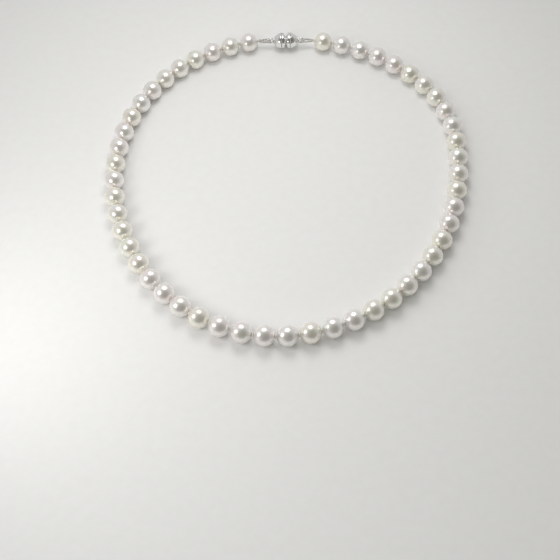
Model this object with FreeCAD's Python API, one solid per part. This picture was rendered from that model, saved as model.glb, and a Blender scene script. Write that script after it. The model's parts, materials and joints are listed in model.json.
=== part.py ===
"""Pearl necklace: fifty-one drilled pearls, a knotted silk thread, two gimp loops and a magnetic clasp.

Millimetres, +Z up. The necklace lies flat with its clasp at the back (+Y) and its middle pearl at the
front (-Y). The origin is on the surface it lies on, under the middle of its outline.
"""
import FreeCAD, Part

import math
import os

V = FreeCAD.Vector

# ---------------------------------------------------------------- driving dimensions
PEARL_D = 8.0            # every pearl is matched to this size
PEARLS_PER_SIDE = 25     # on each side of the middle pearl
PITCH = 8.5              # knot to knot along the thread
HOLE_D = 0.9             # drill hole through each pearl
HOLE_CHAMFER = 0.15      # broken edge at both mouths of the hole

THREAD_D = 0.6           # silk
THREAD_PARTING = 0.1     # between the thread's left and right lengths, inside the middle pearl
KNOT_D = 1.3             # a single knot pulled tight between two pearls
KNOT_THICK = 0.38
KNOT_ROUND = 0.14

GIMP_D = 0.9             # coiled wire sleeve over the thread, where it loops through an eyelet
GIMP_FIT = 0.1           # play between the loop and the eyelet's wire
GIMP_NECK_R = 0.5        # bend of the loop where both its legs enter the last knot
GIMP_START = 0.3         # from the last knot's centre to the loop

EYELET_WIRE_D = 0.8
EYELET_HOLE_D = 1.7
EYELET_SUNK = 0.75       # how far the eyelet's wire is let into the clasp's pole

CLASP_D = 7.0
CLASP_HALF = 5.6         # length of one half, pole to meeting face
CLASP_GAP = 0.4          # the opened pivot: both halves stand this far apart
CLASP_POLE_R = 1.0
CLASP_SHOULDER_R = 1.3   # where the collar meets the dome
CLASP_BELLY = 1.4        # from the meeting face to the widest place
CLASP_BEVEL_R = 2.4      # the meeting face is flat inside this radius
CLASP_RIM_R = 3.3        # and is bevelled out to this one
CLASP_BEVEL = 0.45
DOME_RISE = 0.42         # the dome passes through this part of its length
DOME_FILL = 0.83         # at this part of its radius
BELLY_SWELL = 0.06       # how far the belly bows out beyond a straight cone
COLLAR_LONG = 0.5        # turned collar round the pole

MAGNET_D = 4.4
MAGNET_THICK = 2.4
MAGNET_FIT = 0.05
MAGNET_SUNK = 0.05       # below the meeting face

# The thread's route when the necklace lies as it is worn: front point first, then round by +X.
ROUTE = [
    (0.0, -75.0),
    (35.5, -61.5),
    (59.0, -34.0),
    (69.0, 0.0),
    (65.5, 37.5),
    (38.5, 66.0),
    (0.0, 76.0),
    (-37.5, 65.0),
    (-62.5, 36.0),
    (-69.5, 0.0),
    (-61.0, -35.0),
    (-37.0, -64.5),
]

PEARL_R = PEARL_D / 2
EYELET_R = (EYELET_HOLE_D + EYELET_WIRE_D) / 2
GIMP_END_R = (EYELET_WIRE_D + GIMP_D) / 2 + GIMP_FIT
EYELET_LONG = EYELET_R + EYELET_HOLE_D / 2 + EYELET_WIRE_D - EYELET_SUNK
UP = V(0, 0, 1)


# ---------------------------------------------------------------- where things lie
def knots_along(route):
    """The two rows of knot centres, from the middle pearl back along each side: (left, right)."""
    curve = Part.BSplineCurve()
    curve.interpolate(Points=[V(x, y, PEARL_R) for x, y in route], PeriodicFlag=True)
    around = curve.length()
    steps = [PITCH / 2 + i * PITCH for i in range(PEARLS_PER_SIDE + 1)]
    right = [curve.value(curve.parameterAtDistance(s, curve.FirstParameter)) for s in steps]
    left = [curve.value(curve.parameterAtDistance(around - s, curve.FirstParameter)) for s in steps]
    return left, right


def direction(a, b):
    return (b - a).normalize()


def stand_on(shape, base, axis):
    """Move a shape built on the origin along +Z so that it stands on base along axis."""
    placed = shape.copy()
    placed.Placement = FreeCAD.Placement(base, FreeCAD.Rotation(UP, axis))
    return placed


def stand_flat(shape, base, axis):
    """As stand_on, keeping the shape's own Y axis upright."""
    placed = shape.copy()
    across = UP.cross(axis)
    turn = FreeCAD.Rotation(across, UP, axis, "ZYX")
    placed.Placement = FreeCAD.Placement(base, turn)
    return placed


# ---------------------------------------------------------------- pieces
def pearl(knot_a, knot_b):
    """A round pearl midway between two knots, drilled from one to the other."""
    drill = Part.makeCylinder(HOLE_D / 2, PEARL_D, V(0, 0, -PEARL_R))
    mouth = math.sqrt(PEARL_R ** 2 - (HOLE_D / 2 + HOLE_CHAMFER) ** 2)
    for side in (-1, 1):
        cone = Part.makeCone(
            HOLE_D / 2, HOLE_D / 2 + 2 * HOLE_CHAMFER, 2 * HOLE_CHAMFER,
            V(0, 0, side * (mouth - HOLE_CHAMFER)), V(0, 0, side))
        drill = drill.fuse(cone)
    ball = Part.makeSphere(PEARL_R).cut(drill)
    return stand_on(ball, (knot_a + knot_b) / 2, direction(knot_a, knot_b))


def knot(centre, axis):
    """A knot seen as a small round-edged disc across the thread."""
    disc = Part.makeCylinder(KNOT_D / 2, KNOT_THICK, V(0, 0, -KNOT_THICK / 2))
    rims = [e for e in disc.Edges if abs(abs(e.BoundBox.ZMin) - KNOT_THICK / 2) < 1e-6
            and e.BoundBox.ZLength < 1e-6]
    return stand_on(disc.makeFillet(KNOT_ROUND, rims), centre, axis)


def silk_thread(start, knots):
    """One side's thread: from start straight through each pearl, with a knot at every gap and the end."""
    bends = [start] + knots
    runs = [stand_on(Part.makeCylinder(THREAD_D / 2, a.distanceToPoint(b)), a, direction(a, b))
            for a, b in zip(bends, bends[1:])]
    ahead = bends[2:] + bends[-1:]
    knobs = [knot(k, direction(a, b)) for a, k, b in zip(bends, knots, ahead)]
    return runs[0].multiFuse(runs[1:] + knobs).removeSplitter()


def gimp_loop(length):
    """A flat teardrop of coiled wire: built from a knot at the origin to an eyelet at length along +Z.

    Its flat lies in the XZ plane, so its round end turns about an eyelet wire that runs along Y.
    """
    near = V(0, 0, GIMP_START + GIMP_D / 2 + GIMP_NECK_R)
    far = V(0, 0, length)
    slope = math.asin((GIMP_END_R - GIMP_NECK_R) / (far.z - near.z))
    out = V(math.cos(slope), 0, -math.sin(slope))
    back = V(-out.x, 0, out.z)
    path = Part.Wire([
        Part.LineSegment(near + out * GIMP_NECK_R, far + out * GIMP_END_R).toShape(),
        Part.Arc(far + out * GIMP_END_R, far + V(0, 0, GIMP_END_R), far + back * GIMP_END_R).toShape(),
        Part.LineSegment(far + back * GIMP_END_R, near + back * GIMP_NECK_R).toShape(),
        Part.Arc(near + back * GIMP_NECK_R, near - V(0, 0, GIMP_NECK_R), near + out * GIMP_NECK_R).toShape(),
    ])
    along = V(-out.z, 0, out.x)
    section = Part.Wire(Part.makeCircle(GIMP_D / 2, near + out * GIMP_NECK_R, along))
    return path.makePipeShell([section], True, False)


def clasp_half():
    """One silver half, from its eyelet's inner wire at the origin to its meeting face along +Z."""
    pole = EYELET_LONG
    face = pole + CLASP_HALF
    collar = pole + COLLAR_LONG
    shoulder = V(CLASP_SHOULDER_R, 0, collar)
    belly = V(CLASP_D / 2, 0, face - CLASP_BELLY)
    bulge = V(CLASP_D / 2 * DOME_FILL, 0, collar + (belly.z - collar) * DOME_RISE)
    rim = V(CLASP_RIM_R, 0, face - CLASP_BEVEL)
    swell = V((belly.x + rim.x) / 2 + BELLY_SWELL, 0, (belly.z + rim.z) / 2)
    outline = [
        Part.LineSegment(V(0, 0, pole), V(CLASP_POLE_R, 0, pole)).toShape(),
        Part.LineSegment(V(CLASP_POLE_R, 0, pole), shoulder).toShape(),
        Part.Arc(shoulder, bulge, belly).toShape(),
        Part.Arc(belly, swell, rim).toShape(),
        Part.LineSegment(rim, V(CLASP_BEVEL_R, 0, face)).toShape(),
        Part.LineSegment(V(CLASP_BEVEL_R, 0, face), V(0, 0, face)).toShape(),
        Part.LineSegment(V(0, 0, face), V(0, 0, pole)).toShape(),
    ]
    shell = Part.Face(Part.Wire(outline)).revolve(V(0, 0, 0), UP, 360)
    pocket = Part.makeCylinder(
        MAGNET_D / 2 + MAGNET_FIT, MAGNET_THICK + MAGNET_SUNK, V(0, 0, face - MAGNET_THICK - MAGNET_SUNK))
    eyelet = Part.makeTorus(EYELET_R, EYELET_WIRE_D / 2, V(0, 0, EYELET_R), V(1, 0, 0))
    return shell.cut(pocket).fuse(eyelet)


def magnet():
    """A disc magnet that sits in its half's pocket, in the same place as clasp_half."""
    face = EYELET_LONG + CLASP_HALF
    return Part.makeCylinder(MAGNET_D / 2, MAGNET_THICK, V(0, 0, face - MAGNET_THICK - MAGNET_SUNK))


# ---------------------------------------------------------------- the necklace
def outline_centre(shapes):
    """The point under the middle of everything, on the surface the necklace lies on."""
    box = FreeCAD.BoundBox()
    for shape in shapes:
        box.add(shape.optimalBoundingBox(False, False))
    return V(box.Center.x, box.Center.y, box.ZMin)


def necklace():
    """Every piece by name, in the place it has when the necklace lies closed, before it is centred."""
    left, right = knots_along(ROUTE)
    pieces = {"pearl_centre": pearl(left[0], right[0])}
    for side, knots in (("left", left), ("right", right)):
        for i in range(PEARLS_PER_SIDE):
            pieces["pearl_%s_%02d" % (side, i + 1)] = pearl(knots[i], knots[i + 1])
        front = (left[0] + right[0]) / 2
        start = front + direction(front, knots[0]) * THREAD_PARTING / 2
        pieces["silk_thread_" + side] = silk_thread(start, knots)

    middle = (left[-1] + right[-1]) / 2
    for side, last, other in (("left", left[-1], right[-1]), ("right", right[-1], left[-1])):
        inward = direction(last, other)
        eyelet = middle - inward * (CLASP_GAP / 2 + CLASP_HALF + EYELET_LONG)
        pieces["gimp_loop_" + side] = stand_flat(gimp_loop(last.distanceToPoint(eyelet)), last, inward)
        pieces["clasp_half_" + side] = stand_flat(clasp_half(), eyelet, inward)
        pieces["magnet_" + side] = stand_flat(magnet(), eyelet, inward)
    return pieces, left, right


PIECES, LEFT_KNOTS, RIGHT_KNOTS = necklace()
ORIGIN = outline_centre(PIECES.values())

os.makedirs("parts", exist_ok=True)
for name, piece in PIECES.items():
    piece.translate(-ORIGIN)
    piece.exportStep("parts/%s.step" % name)
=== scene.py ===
"""The looks of the pearl necklace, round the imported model: nacre, silk, gimp and a silver clasp."""
import json
import math
import random

import bpy
import numpy as np
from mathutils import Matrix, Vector

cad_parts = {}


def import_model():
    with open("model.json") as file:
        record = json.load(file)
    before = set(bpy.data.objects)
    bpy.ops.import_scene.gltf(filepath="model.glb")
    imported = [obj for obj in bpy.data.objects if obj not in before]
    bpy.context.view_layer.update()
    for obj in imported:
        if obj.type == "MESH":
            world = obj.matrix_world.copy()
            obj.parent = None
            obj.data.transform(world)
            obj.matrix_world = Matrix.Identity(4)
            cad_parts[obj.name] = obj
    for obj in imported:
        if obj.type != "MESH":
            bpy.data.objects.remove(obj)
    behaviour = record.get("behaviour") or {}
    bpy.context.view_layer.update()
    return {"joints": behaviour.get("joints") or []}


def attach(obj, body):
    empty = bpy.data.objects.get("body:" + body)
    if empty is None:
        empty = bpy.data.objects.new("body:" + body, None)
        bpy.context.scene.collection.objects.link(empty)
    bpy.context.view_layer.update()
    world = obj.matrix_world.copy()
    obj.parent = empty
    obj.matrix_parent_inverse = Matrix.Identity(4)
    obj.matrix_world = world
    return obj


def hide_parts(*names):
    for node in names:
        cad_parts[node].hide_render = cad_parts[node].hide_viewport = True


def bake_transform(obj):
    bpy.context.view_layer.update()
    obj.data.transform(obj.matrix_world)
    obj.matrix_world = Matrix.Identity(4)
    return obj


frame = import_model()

MM = 0.001
UP = np.array((0.0, 0.0, 1.0))
PER_SIDE = 25             # pearls on each side of the middle one
SIDES = ("left", "right")
OTHER = {"left": "right", "right": "left"}
ANY_ANGLE = 6.28          # a full turn, near enough for a random start


# ---------------------------------------------------------------- places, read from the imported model
PIVOT = {j["name"]: np.array(j["pos_m"]) for j in frame["joints"]}
KNOTS = {s: [PIVOT["knot_%s_%02d" % (s, i + 1)] for i in range(PER_SIDE + 1)] for s in SIDES}
EYELET = {s: PIVOT["eyelet_" + s] for s in SIDES}


def strand(side):
    """The bodies along one side, from the middle pearl back to the gimp loop."""
    pearls = ["pearl_%s_%02d" % (side, i + 1) for i in range(PER_SIDE)]
    return ["pearl_centre"] + pearls + ["gimp_loop_" + side]


def unit(v):
    return v / np.linalg.norm(v)


def upright(axis):
    """Columns x, y, z of a local frame whose z is axis and whose y is up."""
    return np.column_stack((np.cross(UP, axis), UP, axis))


# ---------------------------------------------------------------- mesh building, in millimetres
class Build:
    """Vertices and faces of one piece, with one number per vertex for its material."""

    def __init__(self):
        self.points, self.faces, self.marks = [], [], []

    def add(self, points, faces, mark=0.0):
        first = len(self.points)
        self.points += [tuple(p) for p in points]
        self.faces += [tuple(first + i for i in f) for f in faces]
        self.marks += list(mark) if hasattr(mark, "__len__") else [mark] * len(points)


def circle(count):
    """Angles at even steps round a full turn."""
    return np.arange(count) * 2 * np.pi / count


def rings(count, sides, closed=False):
    """Faces that join rings of vertices, each ring round the one before."""
    faces = []
    for i in range(count if closed else count - 1):
        a, b = i * sides, (i + 1) % count * sides
        faces += [(a + k, a + (k + 1) % sides, b + (k + 1) % sides, b + k) for k in range(sides)]
    return faces


def lathe(profile, sides, closed=False):
    """(radius, z) turned about z: points, faces, and each point's place in the profile.

    Going up the outside gives outward normals. A radius of 0 is a single point on the axis.
    """
    points, faces, rows, source = [], [], [], []
    for i, (r, z) in enumerate(profile):
        turn = circle(sides if r > 0 else 1)
        rows.append(range(len(points), len(points) + len(turn)))
        points += [(r * math.cos(t), r * math.sin(t), z) for t in turn]
        source += [i] * len(turn)
    for a, b in zip(rows, rows[1:] + rows[:1] if closed else rows[1:]):
        for k in range(sides):
            n = (k + 1) % sides
            corners = (a[k % len(a)], a[n % len(a)], b[n % len(b)], b[k % len(b)])
            faces.append(tuple(dict.fromkeys(corners)))
    return np.array(points), faces, np.array(source)


def carried(path, closed):
    """The path with its unit tangent, side and lift at each point, without needless twist."""
    path = np.asarray(path, float)
    if closed:
        tangent = np.roll(path, -1, 0) - np.roll(path, 1, 0)
    else:
        tangent = np.gradient(path, axis=0)
    tangent /= np.linalg.norm(tangent, axis=1)[:, None]
    side = np.cross(tangent[0], (0.31, 0.17, 0.93))  # any direction that no path here starts along
    sides = []
    for t in tangent:
        side = unit(side - (side @ t) * t)
        sides.append(side)
    sides = np.array(sides)
    lifts = np.cross(tangent, sides)
    if closed:
        # the frame comes back turned: that turn is undone bit by bit along the way
        back = side - (side @ tangent[0]) * tangent[0]
        turned = math.atan2(back @ lifts[0], back @ sides[0])
        undo = (-turned * np.arange(len(path)) / len(path))[:, None]
        turned_sides = np.cos(undo) * sides + np.sin(undo) * lifts
        lifts = np.cos(undo) * lifts - np.sin(undo) * sides
        sides = turned_sides
    return path, sides, lifts


def tube(path, radius, sides, closed=False):
    """A round tube along a path, with flat ends unless it is closed."""
    path, side, lift = carried(path, closed)
    radius = np.broadcast_to(radius, len(path))
    points = []
    for p, u, v, r in zip(path, side, lift, radius):
        points += [p + r * (math.cos(a) * u + math.sin(a) * v) for a in circle(sides)]
    faces = rings(len(path), sides, closed)
    if not closed:
        last = (len(path) - 1) * sides
        faces += [tuple(range(sides))[::-1], tuple(last + k for k in range(sides))]
    return np.array(points), faces


def helix(path, radius, turns, phase=0.0, closed=False):
    """A path that winds round another one."""
    path, side, lift = carried(path, closed)
    step = np.linalg.norm(np.diff(path, axis=0), axis=1)
    along = np.concatenate(((0,), np.cumsum(step)))
    total = along[-1] + (np.linalg.norm(path[0] - path[-1]) if closed else 0)
    angle = 2 * np.pi * turns * along / total + phase
    return path + radius * (np.cos(angle)[:, None] * side + np.sin(angle)[:, None] * lift)


def along_evenly(path, count, closed=False):
    """The same line with its points at even steps."""
    path = np.asarray(path, float)
    if closed:
        path = np.vstack((path, path[:1]))
    at = np.concatenate(((0,), np.cumsum(np.linalg.norm(np.diff(path, axis=0), axis=1))))
    want = np.linspace(0, at[-1], count, endpoint=not closed)
    return np.column_stack([np.interp(want, at, path[:, k]) for k in range(3)])


def make(name, build, base, turn, material, slot):
    """The object for a build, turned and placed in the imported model's frame."""
    mesh = bpy.data.meshes.new(name)
    mesh.from_pydata((np.asarray(build.points) @ turn.T * MM + base).tolist(), [], build.faces)
    mesh.update()
    mesh.polygons.foreach_set("use_smooth", [True] * len(mesh.polygons))
    mark = mesh.attributes.new("mark", "FLOAT", "POINT")
    mark.data.foreach_set("value", np.array(build.marks, np.float32))
    mesh.materials.append(material)
    piece = bpy.data.objects.new(name, mesh)
    bpy.context.scene.collection.objects.link(piece)
    return piece


# ---------------------------------------------------------------- materials
def set_stops(ramp, stops):
    """Colours at places along 0 to 1."""
    while len(ramp.elements) < len(stops):
        ramp.elements.new(0.5)
    for element, (at, colour) in zip(ramp.elements, stops):
        element.position = at
        element.color = (*colour, 1.0)


class Nodes:
    """A node tree with short calls for the nodes used here."""

    def __init__(self, name):
        self.material = bpy.data.materials.new(name)
        self.material.use_nodes = True
        self.tree = self.material.node_tree
        self.shader = next(n for n in self.tree.nodes if n.type == "BSDF_PRINCIPLED")
        self.place = self.node("ShaderNodeTexCoord").outputs["Object"]

    def node(self, kind, **settings):
        made = self.tree.nodes.new(kind)
        for key, value in settings.items():
            setattr(made, key, value)
        return made

    def join(self, source, target):
        self.tree.links.new(source, target)

    def feed(self, target, value):
        if isinstance(value, bpy.types.NodeSocket):
            self.join(value, target)
        else:
            target.default_value = value

    def fixed(self, **values):
        """Numbers and colours that are the same all over, on the shader's own sockets."""
        for key, value in values.items():
            self.shader.inputs[key.replace("_", " ")].default_value = value

    def use(self, socket, value):
        self.join(value, self.shader.inputs[socket])

    def attribute(self, name):
        return self.node("ShaderNodeAttribute", attribute_name=name)

    def noise(self, scale, detail=2.0, rough=0.5, distort=0.0, place=None):
        made = self.node("ShaderNodeTexNoise")
        self.join(place or self.place, made.inputs["Vector"])
        made.inputs["Scale"].default_value = scale
        made.inputs["Detail"].default_value = detail
        made.inputs["Roughness"].default_value = rough
        made.inputs["Distortion"].default_value = distort
        return made.outputs["Fac"]

    def stretched(self, scale):
        made = self.node("ShaderNodeMapping")
        self.join(self.place, made.inputs["Vector"])
        made.inputs["Scale"].default_value = scale
        return made.outputs["Vector"]

    def ramp(self, value, *stops):
        made = self.node("ShaderNodeValToRGB")
        self.join(value, made.inputs["Fac"])
        set_stops(made.color_ramp, stops)
        return made.outputs["Color"]

    def fit(self, value, low, high, start=0.0, end=1.0):
        """A value that runs from start to end, made to run from low to high."""
        made = self.node("ShaderNodeMapRange")
        self.join(value, made.inputs["Value"])
        made.inputs["From Min"].default_value = start
        made.inputs["From Max"].default_value = end
        made.inputs["To Min"].default_value = low
        made.inputs["To Max"].default_value = high
        return made.outputs["Result"]

    def sum(self, a, b, operation="ADD"):
        made = self.node("ShaderNodeMath", operation=operation)
        self.feed(made.inputs[0], a)
        self.feed(made.inputs[1], b)
        return made.outputs[0]

    def mix(self, share, a, b, blend="MIX"):
        made = self.node("ShaderNodeMix", data_type="RGBA", blend_type=blend)
        self.feed(made.inputs["Factor"], share)
        self.feed(made.inputs[6], a)
        self.feed(made.inputs[7], b)
        return made.outputs[2]

    def tinted(self, colour, tint):
        return self.mix(1.0, colour, tint, "MULTIPLY")

    def bump(self, height, strength, distance, below=None):
        made = self.node("ShaderNodeBump")
        made.inputs["Strength"].default_value = strength
        made.inputs["Distance"].default_value = distance
        self.join(height, made.inputs["Height"])
        if below is not None:
            self.join(below, made.inputs["Normal"])
        return made.outputs["Normal"]


def nacre():
    """Layered nacre: cream body, clouds and faint growth bands, a fine skin, and a deep gloss."""
    m = Nodes("nacre")
    grain = m.attribute("grain").outputs["Vector"]
    tone = m.attribute("tone").outputs["Color"]
    hole = m.attribute("mark").outputs["Fac"]
    cloud = m.noise(420, 3.0, 0.55, 0.3)
    bands = m.noise(1.0, 3.0, 0.5, 0.4, grain)
    skin = m.noise(5200, 2.0, 0.5)
    shimmer = m.noise(260, 2.0, 0.5, 0.6)

    cooler, warmer, inside = (0.975, 0.985, 1.0, 1), (1.0, 0.965, 0.93, 1), (0.60, 0.53, 0.42, 1)
    rose, plain, green = (1.0, 0.955, 0.965), (1.0, 1.0, 1.0), (0.965, 1.0, 0.955)
    clouded = m.mix(m.fit(cloud, 0.0, 0.45), tone, m.tinted(tone, cooler))
    banded = m.mix(m.fit(bands, 0.0, 0.35, 0.35, 0.75), clouded, m.tinted(clouded, warmer))
    orient = m.ramp(shimmer, (0.36, rose), (0.5, plain), (0.64, green))
    shot = m.mix(0.6, banded, m.tinted(banded, orient))
    m.use("Base Color", m.mix(hole, shot, inside))

    # stays above 0.274: Cycles gives its denoiser another guide below that, and a pearl whose
    # roughness crosses it shows contour lines
    gloss = m.fit(cloud, 0.27, 0.33)
    m.use("Roughness", m.sum(gloss, m.sum(hole, 0.5, "MULTIPLY")))
    m.use("Normal", m.bump(skin, 0.05, 0.00004, m.bump(bands, 0.10, 0.00012)))
    m.fixed(Metallic=0.68, IOR=1.68, Coat_Weight=0.35, Coat_Roughness=0.13, Coat_IOR=1.55)
    m.fixed(Subsurface_Weight=0.25, Subsurface_Radius=(1.0, 0.8, 0.6), Subsurface_Scale=0.0012)
    return m.material


def silk():
    """White silk: each ply's filaments, a slight fuzz, and patches a little yellower."""
    m = Nodes("silk")
    fibre = m.noise(9000, 3.0, 0.6)
    patches = m.noise(700, 2.0)
    yarn = m.ramp(patches, (0.3, (0.93, 0.89, 0.79)), (0.7, (0.97, 0.95, 0.88)))
    m.use("Base Color", m.mix(m.fit(fibre, 0.0, 1.0, 0.3, 0.7), yarn, (0.99, 0.97, 0.92, 1)))
    m.use("Roughness", m.fit(fibre, 0.45, 0.7))
    m.use("Normal", m.bump(fibre, 0.35, 0.00004))
    m.fixed(Sheen_Weight=0.5, Sheen_Roughness=0.35)
    m.fixed(Subsurface_Weight=0.5, Subsurface_Radius=(1.0, 0.9, 0.75), Subsurface_Scale=0.0006)
    return m.material


def silver(name, colour, rough, shade_colour):
    """Plated metal: hairline polishing marks, a faint bloom, and painted shade in its grooves and
    hollows.
    """
    m = Nodes(name)
    painted_shade = m.attribute("mark").outputs["Fac"]
    bloom = m.noise(350, 4.0, 0.6)
    lines = m.noise(1.0, 3.0, 0.6, 0.0, m.stretched((700, 9000, 9000)))
    bright = m.mix(m.fit(bloom, 0.0, 0.5), (*colour, 1), (*[c * 0.93 for c in colour], 1))
    # painted shade: marked grooves and hollows take the shade colour
    m.use("Base Color", m.mix(painted_shade, bright, (*shade_colour, 1)))
    wear = m.sum(m.fit(bloom, rough * 0.7, rough * 1.5), m.fit(lines, 0.0, 0.08, 0.4, 0.8))
    m.use("Roughness", m.sum(wear, m.sum(painted_shade, 0.3, "MULTIPLY")))
    m.use("Normal", m.bump(lines, 0.08, 0.00002))
    m.fixed(Metallic=1.0)
    return m.material


NACRE = nacre()
SILK = silk()
# the last colour of each is painted shade, for grooves and hollows
RHODIUM = silver("rhodium_silver", (0.90, 0.90, 0.89), 0.10, (0.30, 0.29, 0.27))
GIMP_WIRE = silver("gimp_wire", (0.83, 0.82, 0.79), 0.26, (0.40, 0.38, 0.35))
NICKEL = silver("nickel_plate", (0.66, 0.65, 0.62), 0.22, (0.35, 0.34, 0.32))


# ---------------------------------------------------------------- pearls
PEARL_R = 4.0
PEARL_SIDES = 72
PEARL_RINGS = 40
HOLE_R = 0.45
HOLE_CHAMFER = 0.15
HOLE_EASE = 0.05          # softens both edges of the chamfer
HOLE_FADE = 1.2           # the hole's darker, browner colour starts to fade this far in from the mouth
OUTSIDE = 0.3             # points marked less than this are outside, or the chamfer's outer edge

# never quite round, in parts of the radius
SHORT = 0.006             # at most this much short along the thread
OVAL = 0.004              # at most this much oval
UNEVEN = 0.0016           # how deep the soft swells go
SWELLS = 5
GRAIN_SCALE = (0.10, 0.10, 0.75)  # growth bands lie across the thread

# cream to rose: each pearl draws one
OVERTONES = (
    (0.955, 0.930, 0.880),
    (0.955, 0.917, 0.892),
    (0.945, 0.930, 0.860),
    (0.955, 0.924, 0.850),
    (0.950, 0.927, 0.905),
    (0.955, 0.914, 0.895),
)


def pearl_profile():
    """(radius, z, how deep in the hole) from the middle of the hole, up the outside and back."""
    mouth_r = HOLE_R + HOLE_CHAMFER
    mouth_z = math.sqrt(PEARL_R ** 2 - mouth_r ** 2)
    edge = [
        (HOLE_R, 0.0, 1.0),
        (HOLE_R, mouth_z - HOLE_FADE, 1.0),
        (HOLE_R, mouth_z - HOLE_CHAMFER - HOLE_EASE, 0.8),
        (HOLE_R + HOLE_EASE, mouth_z - HOLE_CHAMFER, 0.4),
        (mouth_r - HOLE_EASE, mouth_z - HOLE_EASE, 0.15),
    ]
    start = math.asin((mouth_r + HOLE_EASE) / PEARL_R)
    polar = np.linspace(math.pi - start, start, PEARL_RINGS)
    outside = [(PEARL_R * math.sin(p), PEARL_R * math.cos(p), 0.0) for p in polar]
    lower = [(r, -z, m) for r, z, m in edge]
    return lower + outside + edge[:0:-1]


def unevenness(points, chance):
    """How much of its radius each point of a pearl loses."""
    way = points / np.maximum(np.linalg.norm(points, axis=1), 1e-6)[:, None]
    around = np.arctan2(way[:, 1], way[:, 0])
    short = chance.uniform(0.0, SHORT)
    oval = chance.uniform(0.0, OVAL)
    at = chance.uniform(0, math.pi)
    swell = np.zeros(len(points))
    for _ in range(SWELLS):
        bearing = unit(np.array([chance.gauss(0, 1) for _ in range(3)]))
        weight = chance.uniform(0.2, 1.0)
        waves = chance.uniform(2.0, 4.5)
        phase = chance.uniform(0, ANY_ANGLE)
        swell += weight * (0.5 + 0.5 * np.cos(waves * (way @ bearing) + phase))
    squash = oval * (0.5 + 0.5 * np.cos(2 * (around - at)))
    return short * way[:, 2] ** 2 + squash + UNEVEN * swell / 3


def pearl(name, body, knot_a, knot_b, chance):
    """One drilled pearl between two knots, with its own shape, growth bands and overtone."""
    profile = pearl_profile()
    points, faces, source = lathe([(r, z) for r, z, _ in profile], PEARL_SIDES, closed=True)
    marks = np.array([m for _, _, m in profile])[source]
    less = unevenness(points, chance)
    build = Build()
    build.add(points * (1 - less * (marks < OUTSIDE))[:, None], faces, marks)
    axis = unit(knot_b - knot_a)
    piece = make(name, build, (knot_a + knot_b) / 2, upright(axis), NACRE, "pearl")

    grain = piece.data.attributes.new("grain", "FLOAT_VECTOR", "POINT")
    seed = np.array([chance.uniform(0, 40) for _ in range(3)])
    tilt = chance.uniform(-0.5, 0.5)
    tilted = points @ np.array(((1, 0, -tilt), (0, 1, 0), (tilt, 0, 1)))
    grain.data.foreach_set("vector", (tilted * GRAIN_SCALE + seed).astype(np.float32).ravel())
    tone = piece.data.attributes.new("tone", "FLOAT_COLOR", "POINT")
    colour = np.array(chance.choice(OVERTONES)) * chance.uniform(0.985, 1.0)
    tone.data.foreach_set("color", np.tile(np.append(colour, 1.0), len(points)).astype(np.float32))

    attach(piece, body)
    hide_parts(body)


luck = random.Random(51)
pearl("nacre_pearl_centre", "pearl_centre", KNOTS["left"][0], KNOTS["right"][0], luck)
for side in SIDES:
    for i in range(PER_SIDE):
        tag = "%s_%02d" % (side, i + 1)
        pearl("nacre_" + tag, "pearl_" + tag, KNOTS[side][i], KNOTS[side][i + 1], luck)


# ---------------------------------------------------------------- silk
HALF_PITCH = 4.25
THREAD_R = 0.27
PLIES = 3
PLY_R = 0.145
PLY_OUT = 0.02            # the plies stand this much further out, so their hollows show
PLY_TWISTS = 9            # in one run
PLY_STEPS = 78
PLY_SIDES = 7
PLY_TIGHT = 0.86          # a ply's radius inside the knot, in parts of PLY_R
STRAIGHT_STEPS = 9        # the straight part on each side of the knot
TAIL = 1.0                # the last run ends within this of its knot
KNOT_R = 0.43
KNOT_HALF = 0.30
KNOT_TURNS = 1.6
KNOT_STEPS = 34
KNOT_FLAT = 0.62          # the knot's length, in parts of 2 * KNOT_HALF
KNOT_WEAVE = 0.10         # how far its turns pass over and under each other


def knotted_line(chance, half_out):
    """The thread's line through one knot, along z: in, round itself and out."""
    reach = np.linspace(-HALF_PITCH, -KNOT_HALF, STRAIGHT_STEPS)
    entry = [(0, 0, z) for z in reach[:-1]]
    leaving = [(0, 0, z) for z in -reach[-2::-1] if z <= half_out]
    start = chance.uniform(0, ANY_ANGLE)
    loop = []
    for s in np.linspace(0, 1, KNOT_STEPS):
        a = start + 2 * math.pi * KNOT_TURNS * s
        rise = math.sin(math.pi * s)
        r = KNOT_R * min(1.0, 1.9 * rise) ** 0.8  # full width in the middle, closing at both ends
        weave = KNOT_WEAVE * math.sin(2 * math.pi * KNOT_TURNS * 1.5 * s) * rise
        loop.append((r * math.cos(a), r * math.sin(a), KNOT_HALF * (2 * s - 1) * KNOT_FLAT + weave))
    return np.array(entry + loop + leaving)


def silk_run(name, side, i, chance):
    """The twisted thread from the middle of one pearl, through knot i, to the middle of the next."""
    knots, bodies = KNOTS[side], strand(side)
    middle = (KNOTS["left"][0] + KNOTS["right"][0]) / 2
    before = middle if i == 0 else (knots[i - 1] + knots[i]) / 2
    last = i == PER_SIDE
    after = EYELET[side] if last else (knots[i] + knots[i + 1]) / 2
    inward, outward = unit(knots[i] - before), unit(after - knots[i])

    line = along_evenly(knotted_line(chance, TAIL if last else HALF_PITCH), PLY_STEPS)
    radius = PLY_R * np.where(np.abs(line[:, 2]) < KNOT_HALF, PLY_TIGHT, 1.0)
    build = Build()
    for phase in circle(PLIES):
        ply = helix(line, THREAD_R - PLY_R + PLY_OUT, PLY_TWISTS, phase)
        build.add(*tube(ply, radius, PLY_SIDES))

    # the run bends at its knot, from the line of one pearl to the line of the next
    points = np.array(build.points)
    mix = unit(inward + outward)
    near, far, mid = upright(inward), upright(outward), upright(mix)
    low, high, centre = points @ near.T, points @ far.T, points @ mid.T
    in_knot = np.abs(points[:, 2]) <= KNOT_HALF
    build.points = np.where(in_knot[:, None], centre, np.where(points[:, 2:] < 0, low, high))
    piece = make(name, build, knots[i], np.eye(3), SILK, "silk")

    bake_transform(piece)
    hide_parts("silk_thread_" + side)


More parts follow.
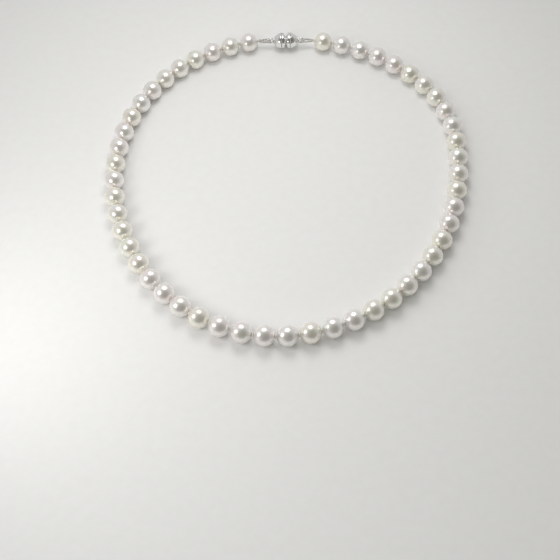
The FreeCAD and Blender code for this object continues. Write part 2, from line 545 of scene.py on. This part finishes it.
for side in SIDES:
    for i in range(PER_SIDE + 1):
        silk_run("silk_%s_%02d" % (side, i + 1), side, i, luck)


# ---------------------------------------------------------------- gimp
GIMP_R = 0.45
GIMP_NECK_R = 0.5
GIMP_NECK_AT = 1.25
GIMP_END_R = 0.95
GIMP_WIRE_R = 0.085
GIMP_WIRE_SIDES = 7
GIMP_COIL = 0.172         # from one turn of the wire to the next
GIMP_COIL_STEPS = 14      # in one turn
# an inner tube that carries painted shade for the inside of the coil
GIMP_SHADE_CORE_R = GIMP_R - 1.5 * GIMP_WIRE_R
GIMP_SHADE_CORE_STEPS = 90
GIMP_SHADE_CORE_SIDES = 12


def teardrop(length):
    """The gimp's closed line in the xz plane, round the eyelet's wire and round by the knot."""
    slope = math.asin((GIMP_END_R - GIMP_NECK_R) / (length - GIMP_NECK_AT))
    far = np.linspace(-slope, math.pi + slope, 40)
    near = np.linspace(math.pi + slope, 2 * math.pi - slope, 24)
    line = [(GIMP_END_R * math.cos(a), 0, length + GIMP_END_R * math.sin(a)) for a in far]
    line += [(GIMP_NECK_R * math.cos(a), 0, GIMP_NECK_AT + GIMP_NECK_R * math.sin(a)) for a in near]
    return np.array(line)


def gimp(side):
    """A loop of wire wound closely on a tube that is painted shade, filling the inside of the coil."""
    knot, eye = KNOTS[side][-1], EYELET[side]
    route = teardrop(np.linalg.norm(eye - knot) / MM)
    round_trip = np.linalg.norm(route - np.roll(route, 1, 0), axis=1).sum()
    turns = round(round_trip / GIMP_COIL)
    line = along_evenly(route, turns * GIMP_COIL_STEPS, closed=True)
    coil = helix(line, GIMP_R - GIMP_WIRE_R, turns, closed=True)
    shade_core = along_evenly(route, GIMP_SHADE_CORE_STEPS, closed=True)
    build = Build()
    build.add(*tube(coil, GIMP_WIRE_R, GIMP_WIRE_SIDES, closed=True))
    # the inner tube is painted shade, marked fully for the shade colour
    build.add(*tube(shade_core, GIMP_SHADE_CORE_R, GIMP_SHADE_CORE_SIDES, closed=True), 1.0)
    piece = make("gimp_coil_" + side, build, knot, upright(unit(eye - knot)), GIMP_WIRE, "gimp")
    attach(piece, "gimp_loop_" + side)
    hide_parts("gimp_loop_" + side)


# ---------------------------------------------------------------- clasp and magnets
# z is measured from the eyelet's wire, where the loop pulls on it, towards the meeting face
POLE_AT = 2.15
FACE_AT = POLE_AT + 5.6
CLASP_SIDES = 120
COLLAR_TOP = (1.3, POLE_AT + 0.5)
DOME_BULGE = (2.905, 4.204)
BELLY = (3.5, FACE_AT - 1.4)
BELLY_BULGE = (3.46, FACE_AT - 0.925)
RIM = (3.3, FACE_AT - 0.45)
POCKET_R = 2.25
POCKET_DEEP = 2.45
BAND_AT = 6.05
GROOVES = ((3.35, 0.05, 0.05), (3.60, 0.05, 0.05), (BAND_AT, 0.17, 0.13))  # z, half width, depth
GROOVE_SHADE = 9           # how much painted shade the grooves get for their depth
BEADS = 72
BEAD_R = 0.115
BEAD_SUNK = 0.01          # below the dome's surface
BEAD_SIDES = 8
EYELET_R = 1.25
EYELET_WIRE_R = 0.4
EYELET_STEPS = 64
EYELET_SIDES = 20
MAGNET_R = 2.2
MAGNET_LONG = 2.4
MAGNET_TOP = FACE_AT - 0.05
MAGNET_EASE = 0.12
MAGNET_SIDES = 72


def arc(a, b, c, count):
    """Points on the circle through a, b and c, from a to c."""
    (ax, ay), (bx, by), (cx, cy) = a, b, c
    aa, bb, cc = ax**2 + ay**2, bx**2 + by**2, cx**2 + cy**2
    d = 2 * (ax * (by - cy) + bx * (cy - ay) + cx * (ay - by))
    ux = (aa * (by - cy) + bb * (cy - ay) + cc * (ay - by)) / d
    uy = (aa * (cx - bx) + bb * (ax - cx) + cc * (bx - ax)) / d
    r = math.hypot(ax - ux, ay - uy)
    first, mid, last = (math.atan2(y - uy, x - ux) for x, y in (a, b, c))
    mid = first + (mid - first + math.pi) % (2 * math.pi) - math.pi
    last = mid + (last - mid + math.pi) % (2 * math.pi) - math.pi
    return [(ux + r * math.cos(t), uy + r * math.sin(t)) for t in np.linspace(first, last, count)]


def clasp_place(side):
    """Where a half stands and how it is turned: on its eyelet, facing the other half."""
    return EYELET[side], upright(unit(EYELET[OTHER[side]] - EYELET[side]))


def shell(build, dome):
    """The turned half: collar, dome with its grooves, belly, bevelled mouth and pocket."""
    belly = arc(BELLY, BELLY_BULGE, RIM, 14)
    outside = [(0.0, POLE_AT), (0.93, POLE_AT), (1.0, POLE_AT + 0.07), (1.08, POLE_AT + 0.2),
               (1.0, POLE_AT + 0.27), (1.0, POLE_AT + 0.33), (1.2, POLE_AT + 0.42)]
    # painted shade: the collar's notch is darkened
    marks = [0.0, 0.0, 0.0, 0.1, 0.9, 0.9, 0.2]
    for r, z in dome[:-1] + belly:
        cut = max(deep * math.exp(-(((z - at) / wide) ** 4)) for at, wide, deep in GROOVES)
        outside.append((r - cut, z))
        # painted shade in the engraved grooves, darker where deeper
        marks.append(min(1.0, cut * GROOVE_SHADE))
    outside += [(3.22, FACE_AT - 0.37), (2.46, FACE_AT - 0.03), (2.40, FACE_AT),
                (POCKET_R + 0.04, FACE_AT), (POCKET_R, FACE_AT - 0.04),
                (POCKET_R, FACE_AT - POCKET_DEEP), (0.0, FACE_AT - POCKET_DEEP)]
    # painted shade at the pocket's mouth and walls, round the magnet
    marks += [0.0, 0.0, 0.0, 0.0, 0.3, 0.6, 0.6]
    points, faces, source = lathe(outside, CLASP_SIDES)
    build.add(points, faces, np.array(marks)[source])


def beads(build, dome):
    """A ring of small beads, sunk into the wide groove."""
    half = np.linspace(0, math.pi, 7)[1:-1]
    side_on = [(BEAD_R * math.sin(a), -BEAD_R * math.cos(a)) for a in half]
    ball, faces, _ = lathe([(0.0, -BEAD_R)] + side_on + [(0.0, BEAD_R)], BEAD_SIDES)
    band = np.interp(BAND_AT, [z for _, z in dome], [r for r, _ in dome]) - BEAD_R - BEAD_SUNK
    for a in circle(BEADS):
        build.add(ball + (band * math.cos(a), band * math.sin(a), BAND_AT), faces)


def clasp(side):
    """A turned half with two engraved lines, a beaded band and its eyelet."""
    build = Build()
    dome = arc(COLLAR_TOP, DOME_BULGE, BELLY, 60)
    shell(build, dome)
    beads(build, dome)
    ring = [(0, EYELET_R * math.cos(a), EYELET_R + EYELET_R * math.sin(a))
            for a in circle(EYELET_STEPS)]
    build.add(*tube(ring, EYELET_WIRE_R, EYELET_SIDES, closed=True))
    piece = make("clasp_turned_" + side, build, *clasp_place(side), RHODIUM, "clasp")
    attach(piece, "clasp_" + side)
    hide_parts("clasp_half_" + side)


def magnet(side):
    """A plated disc in the pocket, with eased edges."""
    top, back, ease = MAGNET_TOP, MAGNET_TOP - MAGNET_LONG, MAGNET_EASE
    profile = [(0.0, back), (MAGNET_R - ease, back), (MAGNET_R, back + ease), (MAGNET_R, top - ease)]
    profile += [(MAGNET_R - ease * 0.3, top - ease * 0.3), (MAGNET_R - ease, top)]
    profile += [(r, top) for r in (1.8, 1.2, 0.6, 0.0)]
    points, faces, _ = lathe(profile, MAGNET_SIDES)
    disc = Build()
    disc.add(points, faces)
    plate = make("magnet_plated_" + side, disc, *clasp_place(side), NICKEL, "magnet")
    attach(plate, "clasp_" + side)
    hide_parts("magnet_" + side)


for side in SIDES:
    gimp(side)
    clasp(side)
    magnet(side)


# ---------------------------------------------------------------- floor, light and camera
def stage_floor():
    """A matt pale sheet, 6 m square, for the pearls to lie on and mirror."""
    mesh = bpy.data.meshes.new("floor")
    half, parts = 3.0, 24
    grid = np.linspace(-half, half, parts + 1)
    points = [(x, y, 0.0) for y in grid for x in grid]
    row = parts + 1
    faces = [(j * row + i, j * row + i + 1, (j + 1) * row + i + 1, (j + 1) * row + i)
             for j in range(parts) for i in range(parts)]
    mesh.from_pydata(points, [], faces)
    m = Nodes("floor_paper")
    fleck = m.noise(300, 3.0)
    m.use("Base Color", m.ramp(fleck, (0.3, (0.85, 0.85, 0.845)), (0.7, (0.87, 0.87, 0.865))))
    m.use("Roughness", m.fit(fleck, 0.75, 0.9))
    mesh.materials.append(m.material)
    floor = bpy.data.objects.new("floor", mesh)
    bpy.context.scene.collection.objects.link(floor)


def soft_light(name, place, aim, size, radiance, colour, mirrored=True):
    """A round soft light, placed and aimed in millimetres.

    Its radiance is what a mirror would show of it.
    """
    data = bpy.data.lights.new(name, "AREA")
    data.shape = "DISK"
    data.size = size * MM
    data.energy = radiance * math.pi * math.pi * (size * MM / 2) ** 2
    data.color = colour
    light = bpy.data.objects.new(name, data)
    light.location = Vector(place) * MM
    light.rotation_mode = "QUATERNION"
    light.rotation_quaternion = (Vector(place) - Vector(aim)).to_track_quat("Z", "Y")
    light.visible_camera = False
    light.visible_glossy = mirrored
    bpy.context.scene.collection.objects.link(light)


DARK_WAY = (0.18, -0.66, 0.73)  # the middle of the room's dim part
ROOM = (                        # from straight away from it to straight at it
    (0.0, (0.58, 0.58, 0.58)),
    (0.60, (0.60, 0.60, 0.595)),
    (0.74, (0.46, 0.46, 0.455)),
    (0.88, (0.23, 0.225, 0.195)),
    (1.0, (0.148, 0.143, 0.115)),
)


def world():
    """A pale room, dim where the camera stands and a little to its right."""
    made = bpy.data.worlds.new("room")
    made.use_nodes = True
    bpy.context.scene.world = made
    tree = made.node_tree
    back = next(n for n in tree.nodes if n.type == "BACKGROUND")
    way = tree.nodes.new("ShaderNodeTexCoord").outputs["Generated"]
    lean = tree.nodes.new("ShaderNodeVectorMath")
    lean.operation = "DOT_PRODUCT"
    tree.links.new(way, lean.inputs[0])
    lean.inputs[1].default_value = DARK_WAY
    share = tree.nodes.new("ShaderNodeMapRange")
    tree.links.new(lean.outputs["Value"], share.inputs["Value"])
    share.inputs["From Min"].default_value = -1.0
    ramp = tree.nodes.new("ShaderNodeValToRGB")
    tree.links.new(share.outputs["Result"], ramp.inputs["Fac"])
    set_stops(ramp.color_ramp, ROOM)
    tree.links.new(ramp.outputs["Color"], back.inputs["Color"])
    back.inputs["Strength"].default_value = 1.0


# aim, height and distance are fitted to the pearl centres seen in the photograph, for this focal
# length, which is one of several tried and isn't measured
SENSOR = 36.0
FOCAL_PX = 1000
PICTURE_PX = 560
CAMERA_AIM = (-2.91, -50.66, 4.0)
CAMERA_HEIGHT = 57.39     # degrees above the table
CAMERA_AWAY = 374.9


def camera():
    """The photograph's point of view."""
    data = bpy.data.cameras.new("camera")
    data.sensor_width = SENSOR
    data.lens = SENSOR * FOCAL_PX / PICTURE_PX
    data.clip_start = 0.01
    data.clip_end = 20.0
    made = bpy.data.objects.new("camera", data)
    height = math.radians(CAMERA_HEIGHT)
    back = Vector((0.0, -math.cos(height), math.sin(height)))
    made.location = Vector(CAMERA_AIM) * MM + back * CAMERA_AWAY * MM
    made.rotation_mode = "QUATERNION"
    made.rotation_quaternion = back.to_track_quat("Z", "Y")
    bpy.context.scene.collection.objects.link(made)
    bpy.context.scene.camera = made


stage_floor()
soft_light("above_back", (-12, 86, 225), (0, 0, 0), 150, 3.5, (1.0, 0.995, 0.985))
soft_light("front_left", (-128, -88, 84), (0, 0, 0), 58, 4.6, (1.0, 0.99, 0.975))
# fills the shadows as the bust does in the photograph, and isn't mirrored by the pearls
soft_light("fill", (-150, -190, 310), (-20, 0, 0), 300, 1.75, (1.0, 1.0, 1.0), mirrored=False)
world()
camera()
bpy.context.scene.view_settings.view_transform = "Standard"
